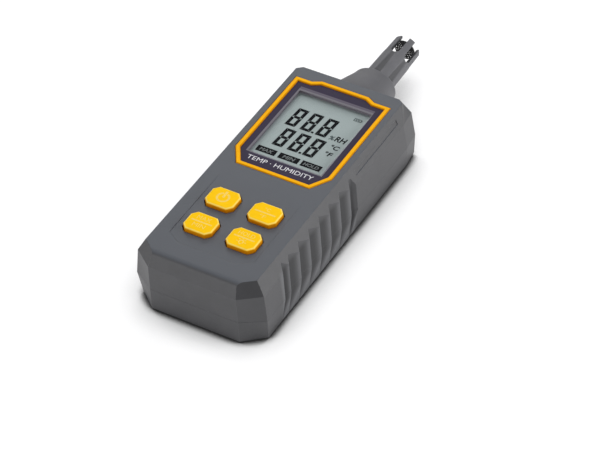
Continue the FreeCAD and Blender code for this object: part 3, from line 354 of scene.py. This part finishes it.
# Print of the lens, with a painted highlight line round the window and painted shade bands at its left and
# far sides. Each pair is where a tone starts and where it is full: inside the window's outline for the print
# and the highlight line, from the near side and the middle for the line's brightest stretch, from the left
# side for the left shade band, and from its own middle, which lies beyond the far side, for the far shade
# band.
PRINT_EDGE = 0.06 * MM, -0.06 * MM
HIGHLIGHT_LINE_START, HIGHLIGHT_LINE_END = (0.02 * MM, 0.1 * MM), (0.5 * MM, 0.38 * MM)
HIGHLIGHT_LENGTHS, HIGHLIGHT_WIDTHS = (24 * MM, 4 * MM), (-4 * MM, -13 * MM)
LEFT_SHADE_BAND, FAR_SHADE_BAND, FAR_SHADE_BAND_MIDDLE = (0.8 * MM, 0.6 * MM), (1.2 * MM, 1.0 * MM), 0.1 * MM
SHADE_BAND_BLUR = 0.06 * MM


def printed_lens():
    """Clear plate, printed dark outside the window. A painted highlight line runs round the window, brighter
    at the near and left sides, and a painted shade band stands for the depth of the window's left and far
    walls."""
    finish = Finish("lens_clear")
    x, y, _ = finish.parts(finish.point())
    inward = inside_window(x, y)
    printed = inward.step(*PRINT_EDGE)
    highlight = (y - WINDOW_LOW[1]).step(*HIGHLIGHT_LENGTHS).most(x.step(*HIGHLIGHT_WIDTHS))
    line = inward.step(*HIGHLIGHT_LINE_START) * inward.step(*HIGHLIGHT_LINE_END) * (0.25 + 0.6 * highlight)
    left_shade = (x - WINDOW_LOW[0]).step(*LEFT_SHADE_BAND) * inward.step(0, SHADE_BAND_BLUR)
    far_shade = abs(y - WINDOW_HIGH[1] - FAR_SHADE_BAND_MIDDLE).step(*FAR_SHADE_BAND)
    far_shade = far_shade * abs(x).step(WINDOW_HIGH[0], WINDOW_HIGH[0] - SHADE_BAND_BLUR)
    # Painted highlight line, and painted shade bands at the left and far sides
    line = line.most(left_shade.most(far_shade) * 0.75)
    haze = finish.noise(60).step(0.3, 0.8)
    return finish.set(Base_Color=finish.mix(line, finish.mix(printed, LENS_CLEAR, LENS_DARK), LENS_HIGHLIGHT_AND_SHADE),
                      Roughness=0.09 + 0.05 * haze, Specular_IOR_Level=0.12,
                      Alpha=(printed + 0.01 + line).least(1))


def liquid_crystal():
    """Matt grey-green glass with a faint sparkle."""
    finish = Finish("lcd_glass")
    sparkle = finish.noise(1500, detail=1)
    cloud = finish.noise(70).step(0.25, 0.75)
    colour = finish.mix(cloud, scaled(LCD_GREEN, 0.95), LCD_GREEN)
    return finish.set(Base_Color=finish.mix(sparkle * 0.06, colour, LCD_SPARKLE), Specular_IOR_Level=0.1,
                      Roughness=0.4 + 0.1 * cloud, Normal=finish.bump(sparkle, 0.01 * MM, 0.1))


def ink(name, colour, roughness=0.35):
    """Printed film with slightly uneven cover and no gloss."""
    finish = Finish(name)
    cover = finish.noise(1500).step(0.2, 0.8)
    return finish.set(Base_Color=finish.mix(cover, scaled(colour, 0.85), colour), Specular_IOR_Level=0,
                      Roughness=roughness + 0.1 * cover)


def metal(name, colour, roughness):
    """Plated metal with fine drawn streaks."""
    finish = Finish(name)
    streak = finish.noise(1800, detail=4, distortion=1.5)
    return finish.set(Base_Color=finish.mix(streak, scaled(colour, 0.8), colour), Metallic=1,
                      Roughness=roughness + 0.15 * streak, Normal=finish.bump(streak, 0.01 * MM, 0.3))


def circuit_green():
    """Lacquered board: copper tracks under green lacquer, as a maze of lines near the borders of cells."""
    finish = Finish("circuit_board")
    cells = finish.node("TexVoronoi", {"distance": "CHEBYCHEV", "feature": "F1"}, out="Distance",
                        Vector=finish.point(), Scale=320, Randomness=0.7)
    track = cells.step(0.34, 0.38) * cells.step(0.5, 0.46)
    return finish.set(Base_Color=finish.mix(track, LACQUER_GREEN, TRACK_GREEN),
                      Roughness=0.3 + 0.15 * track, Normal=finish.bump(track, 0.035 * MM, 0.6))


def cell_sleeve():
    """Printed sleeve of a cell: champagne, and dark for a third of its length with a thin line beside it.
    The middle cell is turned end for end."""
    finish = Finish("cell_jacket")
    x, y, _ = finish.parts(finish.point())
    (_, start, _), (_, end, _) = corners("battery_cell_1")
    (left, _, _), (right, _, _) = corners("battery_cell_2")
    along = (y - start) / (end - start)
    turned = (x - left).least(right - x).step(-0.02 * MM, 0.02 * MM)
    along = along + turned * (1 - 2 * along)
    dark = along.step(0.33, 0.325)
    line = abs(along - 0.35).step(0.008, 0.006)
    streak = finish.noise(900, detail=4)
    return finish.set(Base_Color=finish.mix(dark.most(line), CHAMPAGNE, SLEEVE_BLACK),
                      Metallic=0.75 - 0.5 * dark, Roughness=0.25 + 0.1 * streak)


def pale_plastic(name, colour, roughness=0.5):
    """Plain plastic or rubber with a soft grain."""
    finish = Finish(name)
    grain = finish.noise(1200)
    return finish.set(Base_Color=finish.mix(grain, scaled(colour, 0.92), colour),
                      Roughness=roughness + 0.1 * grain,
                      Normal=finish.bump(grain, 0.02 * MM, 0.3, Normal=finish.rounded(0.15 * MM)))


FINISHES = {
    "case_plastic": moulded_grey("case_plastic", GREY, case_tones),
    "collar_plastic": moulded_grey("collar_plastic", COLLAR_GREY_LIT, roughness=0.6),
    "probe_plastic": moulded_grey("probe_plastic", PROBE_GREY_LIT, tube_tones, roughness=0.6),
    "frame_yellow": painted_yellow("frame_yellow", YELLOW, YELLOW_SIDE_DEEPER_AND_SHADED, YELLOW_RIM_SHADE, 0.2 * MM),
    "key_rubber": painted_yellow("key_rubber", KEY_YELLOW, KEY_SIDE_DEEPER_AND_SHADED, KEY_RIM_HIGHLIGHT, 0.35 * MM),
    "lens_clear": printed_lens(),
    "lcd_glass": liquid_crystal(),
    "diffuser": pale_plastic("diffuser", (0.85, 0.87, 0.85), 0.3),
    "white_plastic": pale_plastic("white_plastic", (0.7, 0.71, 0.71)),
    "inner_rubber": pale_plastic("inner_rubber", (0.02, 0.02, 0.022), 0.65),
    "circuit_board": circuit_green(),
    "black_component": pale_plastic("black_component", (0.01, 0.01, 0.011), 0.45),
    "component_metal": metal("component_metal", (0.7, 0.7, 0.68), 0.25),
    "screw_steel": metal("screw_steel", (0.5, 0.5, 0.52), 0.32),
    "cell_jacket": cell_sleeve(),
}
DIGIT_INK = ink("lcd_ink", LCD_BLACK)
FAINT_INK = ink("lcd_faint_ink", LCD_FAINT)
STATE_INK = ink("lcd_letter", LCD_GREY)
LEGEND_INK = ink("legend_ink", LEGEND, 0.5)
LENS_INK = ink("lens_letter", LETTER_WHITE, 0.4)


def dress_nodes():
    """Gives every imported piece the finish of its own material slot."""
    for row in frame["record"]["subparts"]:
        node = frame["nodes"][row["node"]]
        node.data.materials.clear()
        node.data.materials.append(FINISHES[row["material_slot"]])


# New pieces

def add_piece(name, mesh, material, body):
    """Object at the origin for a mesh in the row frame, of one material, riding on a body."""
    mesh.materials.clear()
    mesh.materials.append(material)
    made = bpy.data.objects.new(name, mesh)
    bpy.context.scene.collection.objects.link(made)
    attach(made, body)
    return made


def surface(name, points, faces):
    """Mesh of an array of points and a list of faces."""
    mesh = bpy.data.meshes.new(name)
    mesh.from_pydata(points.tolist(), [], faces)
    mesh.validate()
    return mesh


def film(name, outlines, low, thickness, material, body):
    """Thin printed shapes. Each is an upright prism: a flat outline, counter-clockwise, and the same
    outline raised by the thickness, with one wall for each of its sides."""
    points, faces, start = [], [], 0
    for outline in outlines:
        points += [np.insert(outline, 2, z, axis=1) for z in (low, low + thickness)]
        count = len(outline)
        foot = start + np.arange(count)
        after = np.roll(foot, -1)
        faces += [foot[::-1].tolist(), (foot + count).tolist()]
        faces += np.stack([foot, after, after + count, foot + count], 1).tolist()
        start += 2 * count
    return add_piece(name, surface(name, np.vstack(points), faces), material, body)


def lettering(name, text, centre, width, cap, low, thickness, material, body, slant=0, bold=0):
    """Words as a thin mesh. The font's points are stretched to the whole width and the cap height in
    metres, raised by the thickness, leaned by slant, and moved to the centre."""
    curve = bpy.data.curves.new(name + "_words", "FONT")
    curve.body = text
    curve.size = 1
    curve.offset = bold
    curve.extrude = 0.5
    curve.resolution_u = 3
    holder = bpy.data.objects.new(name + "_words", curve)
    bpy.context.scene.collection.objects.link(holder)
    bpy.context.view_layer.update()
    mesh = bpy.data.meshes.new_from_object(holder.evaluated_get(bpy.context.evaluated_depsgraph_get()))
    bpy.data.objects.remove(holder)
    bpy.data.curves.remove(curve)
    points = np.zeros(len(mesh.vertices) * 3)
    mesh.vertices.foreach_get("co", points)
    points = points.reshape(-1, 3)
    lowest, highest = points.min(0), points.max(0)
    points = (points - (lowest + highest) / 2) / (highest - lowest)
    points *= (width, cap, thickness)
    points[:, 0] += points[:, 1] * slant
    points += (centre[0], centre[1], low + thickness / 2)
    mesh.vertices.foreach_set("co", points.ravel())
    mesh.name = name
    return add_piece(name, mesh, material, body)


# Display contents, in millimetres from the middle of the glass and from its edge nearest the keys

DIGIT_WIDTH, DIGIT_HEIGHT, STROKE, SPLIT, NOTCH, LEAN = 4.9, 10.3, 1.3, 0.03, 0.05, 0.065
POINT_SIDE = 0.95
# Left edges of the digits, their foot, and the left edge of the decimal point
DIGIT_ROWS = (((-11.6, -5.4, 0.9), 22.1, -0.75), ((-10.2, -4.0, 2.2), 10.2, 0.8))
STATE_LOW, STATE_HIGH, STATE_CAP = 4.75, 7.75, 1.7
# Word, left and right edge of its box, and its own middle and width
STATES = (("MAX", -13.8, -6.0, -9.9, 5.2), ("MIN", -4.75, 3.35, -0.7, 4.6), ("HOLD", 4.4, 12.35, 8.4, 6.0))
# Name, sign, middle, width, cap height and ink
UNIT_SIGNS = (
    ("percent", "%", (7.5, 23.2), 2.0, 2.3, FAINT_INK),
    ("rh", "RH", (11.0, 23.5), 4.1, 2.9, DIGIT_INK),
    ("celsius", "°C", (11.0, 18.9), 3.4, 2.5, DIGIT_INK),
    ("fahrenheit", "°F", (10.6, 14.8), 3.0, 2.4, DIGIT_INK),
)
CELL_LOW, CELL_HIGH, CELL_STROKE, NUB_REACH = (9.6, 35.3), (12.6, 36.9), 0.25, 0.35
CELL_INSET, BAR_LEFTS, BAR_WIDTH = 0.5, (10.2, 11.2), 0.7
FILM, THIN_FILM = 0.03 * MM, 0.01 * MM
LCD_TOP = LCD_HIGH[2] + 0.01 * MM


def on_glass(x, y):
    """Point of the glass in metres from a place in millimetres."""
    return x * MM, LCD_LOW[1] + y * MM


def glass_box(left, low, right, high):
    """Outline of a rectangle on the glass."""
    return [on_glass(x, y) for x, y in ((left, low), (right, low), (right, high), (left, high))]


def segments(left, foot):
    """Outlines of a digit's seven bars: strokes with mitred ends round two squares, one above the other,
    drawn upright and then moved to the right by the lean with height."""
    width, height = DIGIT_WIDTH - LEAN * DIGIT_HEIGHT, DIGIT_HEIGHT
    middle, half, mitre, tip = height / 2, STROKE / 2, STROKE + SPLIT, SPLIT + NOTCH
    top = [(tip, height), (mitre, height - STROKE), (width - mitre, height - STROKE), (width - tip, height)]
    base = [(tip, 0), (width - tip, 0), (width - mitre, STROKE), (mitre, STROKE)]
    waist = [(half + SPLIT, middle), (mitre, middle - half), (width - mitre, middle - half),
             (width - half - SPLIT, middle), (width - mitre, middle + half), (mitre, middle + half)]
    lower = [(0, tip), (STROKE, mitre), (STROKE, middle - SPLIT - half), (0, middle - SPLIT)]
    upper = [(x, height - y) for x, y in reversed(lower)]
    right_sides = [[(width - x, y) for x, y in reversed(side)] for side in (lower, upper)]
    bars = [top, base, waist, lower, right_sides[0], upper, right_sides[1]]
    return [[on_glass(left + x + LEAN * y, foot + y) for x, y in bar] for bar in bars]


def digits():
    """Two rows of three digits, each row with its decimal point."""
    shapes = []
    for lefts, foot, point_left in DIGIT_ROWS:
        for left in lefts:
            shapes += segments(left, foot)
        shapes.append(glass_box(point_left, foot, point_left + POINT_SIDE, foot + POINT_SIDE))
    film("lcd_digits", shapes, LCD_TOP, FILM, DIGIT_INK, "root")


def state_boxes():
    """Three dark boxes below the digits with a grey word on each."""
    boxes = [glass_box(left, STATE_LOW, right, STATE_HIGH) for _, left, right, _, _ in STATES]
    film("lcd_boxes", boxes, LCD_TOP, FILM, DIGIT_INK, "root")
    for word, _, _, middle, width in STATES:
        lettering("lcd_box_" + word.lower(), word, on_glass(middle, (STATE_LOW + STATE_HIGH) / 2), width * MM,
                  STATE_CAP * MM, LCD_TOP + FILM, THIN_FILM, STATE_INK, "root", slant=0.15, bold=0.02)


def unit_signs():
    """Signs of the units beside the digits."""
    for name, sign, place, width, cap, colour in UNIT_SIGNS:
        lettering("lcd_" + name, sign, on_glass(*place), width * MM, cap * MM, LCD_TOP, FILM, colour, "root",
                  slant=0.12, bold=0.025)


def cell_sign():
    """Small sign of a cell: a frame of four strokes, a nub at its right end, and two bars inside."""
    (left, low), (right, high), stroke = CELL_LOW, CELL_HIGH, CELL_STROKE
    bar_low, bar_high = low + CELL_INSET, high - CELL_INSET
    boxes = [(left, low, right, low + stroke), (left, high - stroke, right, high),
             (left, low + stroke, left + stroke, high - stroke),
             (right - stroke, low + stroke, right, high - stroke),
             (right, bar_low, right + NUB_REACH, bar_high)]
    boxes += [(bar_left, bar_low, bar_left + BAR_WIDTH, bar_high) for bar_left in BAR_LEFTS]
    film("lcd_cell_sign", [glass_box(*box) for box in boxes], LCD_TOP, FILM, FAINT_INK, "root")


LENS_WORDS_WIDTH, LENS_WORDS_CAP, LENS_WORDS_RISE = 26.6 * MM, 2.1 * MM, 0.6 * MM


def lens_print():
    """Pale words below the window, printed on the lens a little above the middle of the strip there."""
    y = (LENS_LOW[1] + WINDOW_LOW[1]) / 2 + LENS_WORDS_RISE
    lettering("lens_words", "TEMP · HUMIDITY", (0, y), LENS_WORDS_WIDTH, LENS_WORDS_CAP, LENS_HIGH[2],
              THIN_FILM, LENS_INK, "root")


# Key legends, in millimetres from the middle of a key

LEGEND_FILM = 0.02 * MM
POWER_RADIUS, POWER_STROKE, POWER_OPENING, POWER_BAR, POWER_BAR_HALF = 2.15, 0.75, 44, 3.3, 0.45
LINE_HALF, LINE_STROKE_HALF = 4.05, 0.32
# Key and height of its line
LINES = (("unit_key", -0.1), ("max_min_key", 0.2), ("hold_key", 0.2))
# Key, side of the line, word, height of its middle, width and cap height
KEY_WORDS = (
    ("unit_key", "upper", "°C", 1.75, 2.3, 1.7),
    ("unit_key", "lower", "°F", -1.95, 2.3, 1.7),
    ("max_min_key", "upper", "MAX", 2.1, 5.4, 1.9),
    ("max_min_key", "lower", "MIN", -1.75, 4.8, 1.9),
    ("hold_key", "upper", "HOLD", 2.1, 6.4, 1.9),
)
LAMP_FALL, BULB_RADIUS, BULB_STROKE, BULB_OPENING = 1.95, 0.8, 0.42, 80
SOCKET_HALF, SOCKET_LOW, SOCKET_HIGH = 0.42, -1.25, -0.75
RAY_RADIUS, RAY_LENGTH, RAY_HALF_ANGLE, RAY_ANGLES = 1.6, 0.55, 7, (0, 45, 90, 135, 180)


def key_middle(key):
    """Middle of a key seen from above, in metres."""
    low, high = corners(key)
    return (low[:2] + high[:2]) / 2


def arc(centre, radius, stroke, start, end, steps):
    """Outlines of the tiles of an arc of even stroke: points at the radius less and plus half the stroke,
    at even angles from start to end in degrees."""
    angle = np.radians(np.linspace(start, end, steps))
    direction = np.stack([np.cos(angle), np.sin(angle)], 1) * MM
    inner, outer = (centre + direction * (radius + side * stroke / 2) for side in (-1, 1))
    return list(np.stack([inner[:-1], outer[:-1], outer[1:], inner[1:]], 1))


def key_box(centre, left, low, right, high):
    """Outline of a rectangle beside a centre."""
    return centre + np.array([(left, low), (right, low), (right, high), (left, high)]) * MM


def legend(name, outlines, key):
    """Printed shapes on a key's top, riding on the key."""
    film(name, outlines, KEY_TOP, LEGEND_FILM, LEGEND_INK, key)


def power_sign():
    """Ring that is open at the top, with a bar from its middle through the opening."""
    middle = key_middle("power_key")
    start, end = 90 + POWER_OPENING / 2, 450 - POWER_OPENING / 2
    shapes = arc(middle, POWER_RADIUS, POWER_STROKE, start, end, 40)
    shapes.append(key_box(middle, -POWER_BAR_HALF, 0, POWER_BAR_HALF, POWER_BAR))
    legend("power_key_sign", shapes, "power_key")


def lines_and_words():
    """Line across the middle of each of the other keys, with words above and below it."""
    for key, y in LINES:
        line = key_box(key_middle(key), -LINE_HALF, y - LINE_STROKE_HALF, LINE_HALF, y + LINE_STROKE_HALF)
        legend(key + "_line", [line], key)
    for key, side, word, rise, width, cap in KEY_WORDS:
        x, y = key_middle(key)
        lettering(f"{key}_{side}_word", word, (x, y + rise * MM), width * MM, cap * MM, KEY_TOP, LEGEND_FILM,
                  LEGEND_INK, key)


def lamp_sign():
    """Small lamp below the line of the hold key: a bulb open at its foot, its socket, and five rays."""
    centre = key_middle("hold_key") - (0, LAMP_FALL * MM)
    start, end = BULB_OPENING / 2 - 90, 270 - BULB_OPENING / 2
    shapes = arc(centre, BULB_RADIUS, BULB_STROKE, start, end, 24)
    shapes.append(key_box(centre, -SOCKET_HALF, SOCKET_LOW, SOCKET_HALF, SOCKET_HIGH))
    for angle in RAY_ANGLES:
        shapes += arc(centre, RAY_RADIUS, RAY_LENGTH, angle - RAY_HALF_ANGLE, angle + RAY_HALF_ANGLE, 2)
    legend("hold_key_lamp", shapes, "hold_key")


# Sensor grille

GRILLE_RINGS, GRILLE_COLUMNS, HOLE_RINGS = 17, 72, 3
HUB_RADIUS, GRILLE_INSET, GRILLE_FALL, GRILLE_WALL = 0.3 * MM, 0.25 * MM, 0.5 * MM, 0.3 * MM


def sensor_grille():
    """Perforated disc between the prongs, a surface of radius and angle: the radius runs from the hub to
    the cap's own, and the surface falls back from the tip by its square. Every third ring of faces has
    holes, half as wide as their pitch, and the pitch in columns is less in the outer rings."""
    radii = np.linspace(HUB_RADIUS, CAP_RADIUS, GRILLE_RINGS)
    angles = np.linspace(0, 2 * np.pi, GRILLE_COLUMNS, endpoint=False)
    radius, angle = np.meshgrid(radii, angles, indexing="ij")
    front = CAP_HIGH[1] - GRILLE_INSET
    y = front - GRILLE_FALL * (radius / CAP_RADIUS) ** 2
    points = np.stack([radius * np.cos(angle), y, PROBE_Z + radius * np.sin(angle)], -1).reshape(-1, 3)
    row, column = np.meshgrid(np.arange(GRILLE_RINGS - 1), np.arange(GRILLE_COLUMNS), indexing="ij")
    beside = (column + 1) % GRILLE_COLUMNS
    here, outward = row * GRILLE_COLUMNS, (row + 1) * GRILLE_COLUMNS
    pitch = np.select([row < 5, row < 10], [12, 6], 4)
    hole = (row % HOLE_RINGS == 1) & (column % pitch >= pitch // 2)
    tiles = np.stack([here + column, outward + column, outward + beside, here + beside], -1)[~hole]
    hub = np.stack([column[0], beside[0], np.full(GRILLE_COLUMNS, len(points))], 1)
    mesh = surface("sensor_grille", np.vstack([points, [0, front, PROBE_Z]]), tiles.tolist() + hub.tolist())
    made = add_piece("sensor_grille", mesh, FINISHES["black_component"], "root")
    wall = made.modifiers.new("wall", "SOLIDIFY")
    wall.thickness = GRILLE_WALL
    wall.offset = 0
    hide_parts("sensor_cap")


# Studio. The camera is turned round the aim point, and its focal length is in pixels of the frame.

AZIMUTH, ELEVATION, ROLL = 30.33, 42.43, -1.49
FOCAL_PIXELS, FRAME_WIDTH, SENSOR = 2586.43, 600, 36
DISTANCE, SHIFT_RIGHT, SHIFT_UP = 920.77 * MM, 9.56 * MM, -6.24 * MM
AIM = Vector((0, -23.45 * MM, 12 * MM))
CLIP_START, CLIP_END = 0.05, 20
LIGHT_DISTANCE = 1.3
LIGHTS = (
    ("back_left_light", (-0.475, 0.769, 0.43), (0.6, 0.5), 3),
    ("right_light", (0.9, 0.4, 0.3), (0.8, 0.6), 10),
    ("front_left_light", (-0.4, -0.9, 0.2), (0.9, 0.4), 3.6),
    ("front_top_light", (0, -0.8, 0.75), (1, 0.4), 1.2),
    ("top_light", (-0.15, 0.1, 1), (1.7, 1.7), 11.6),
)
ROOM_GREY = (0.25, 0.25, 0.26, 1)
FLOOR_CORNERS = 3.0 * np.array([(-1, -1, 0), (1, -1, 0), (1, 1, 0), (-1, 1, 0)])
FLOOR_GLOW = 0.66
FLOOR_WHITE, FLOOR_DULL, FLOOR_SHADOW = (0.45, 0.45, 0.45), (0.43, 0.43, 0.435), (0.03, 0.03, 0.03)
GLOW_WHITE, GLOW_SHADOW = (1, 1, 1), (0.02, 0.02, 0.02)
SHADE_REACH, CONTACT_SHADOW_REACH = 18 * MM, 5 * MM


def studio_camera():
    """Camera that looks at the aim point from its azimuth and elevation, rolled about its own axis and
    moved to the right and up in its own plane."""
    azimuth, elevation, roll = (math.radians(angle) for angle in (AZIMUTH, ELEVATION, ROLL))
    level = Vector((math.cos(azimuth), math.sin(azimuth), 0))
    back = Vector((math.sin(azimuth) * math.cos(elevation), -math.cos(azimuth) * math.cos(elevation),
                   math.sin(elevation)))
    upward = back.cross(level)
    right = level * math.cos(roll) + upward * math.sin(roll)
    up = upward * math.cos(roll) - level * math.sin(roll)
    place = AIM + back * DISTANCE + right * SHIFT_RIGHT + up * SHIFT_UP
    data = bpy.data.cameras.new("camera")
    data.sensor_width = SENSOR
    data.lens = FOCAL_PIXELS * SENSOR / FRAME_WIDTH
    data.clip_start = CLIP_START
    data.clip_end = CLIP_END
    camera = bpy.data.objects.new("camera", data)
    camera.matrix_world = Matrix.Translation(place) @ Matrix((right, up, back)).transposed().to_4x4()
    bpy.context.scene.collection.objects.link(camera)
    bpy.context.scene.camera = camera


def softbox(name, direction, size, power):
    """Rectangular light that faces the origin from a direction."""
    data = bpy.data.lights.new(name, "AREA")
    data.shape = "RECTANGLE"
    data.size, data.size_y = size
    data.energy = power
    lamp = bpy.data.objects.new(name, data)
    way = Vector(direction).normalized()
    lamp.location = way * LIGHT_DISTANCE
    lamp.rotation_mode = "QUATERNION"
    lamp.rotation_quaternion = way.to_track_quat("Z", "Y")
    bpy.context.scene.collection.objects.link(lamp)


def open_floor(finish, reach):
    """Share of the room that a point of the floor sees within a reach in metres."""
    return finish.node("AmbientOcclusion", {"samples": 8}, out="AO", Distance=reach)


def white_floor():
    """White glowing floor with a painted shadow that darkens it near the instrument, and most where the two
    touch.
    """
    finish = Finish("floor_white")
    # Painted shadow: occlusion darkens the floor's colour and glow near the instrument.
    shade = open_floor(finish, SHADE_REACH).step(0.2, 0.9)
    contact_shadow = open_floor(finish, CONTACT_SHADOW_REACH).step(0.45, 0.8)
    white = finish.mix(finish.noise(8), FLOOR_DULL, FLOOR_WHITE)
    glow = finish.mix(shade * contact_shadow, GLOW_SHADOW, GLOW_WHITE)
    finish.set(Base_Color=finish.mix(contact_shadow, FLOOR_SHADOW, white), Roughness=0.9, Specular_IOR_Level=0,
               Emission_Color=glow, Emission_Strength=FLOOR_GLOW)
    mesh = surface("floor", FLOOR_CORNERS, [(0, 1, 2, 3)])
    mesh.materials.append(finish.material)
    floor = bpy.data.objects.new("floor", mesh)
    bpy.context.scene.collection.objects.link(floor)


def dim_room():
    """Even grey light from all sides, and plain display of colours."""
    world = bpy.data.worlds.new("room")
    world.use_nodes = True
    world.node_tree.nodes["Background"].inputs["Color"].default_value = ROOM_GREY
    bpy.context.scene.world = world
    bpy.context.scene.view_settings.view_transform = "Standard"


dress_nodes()
digits()
state_boxes()
unit_signs()
cell_sign()
lens_print()
power_sign()
lines_and_words()
lamp_sign()
sensor_grille()
studio_camera()
white_floor()
for light in LIGHTS:
    softbox(*light)
dim_room()
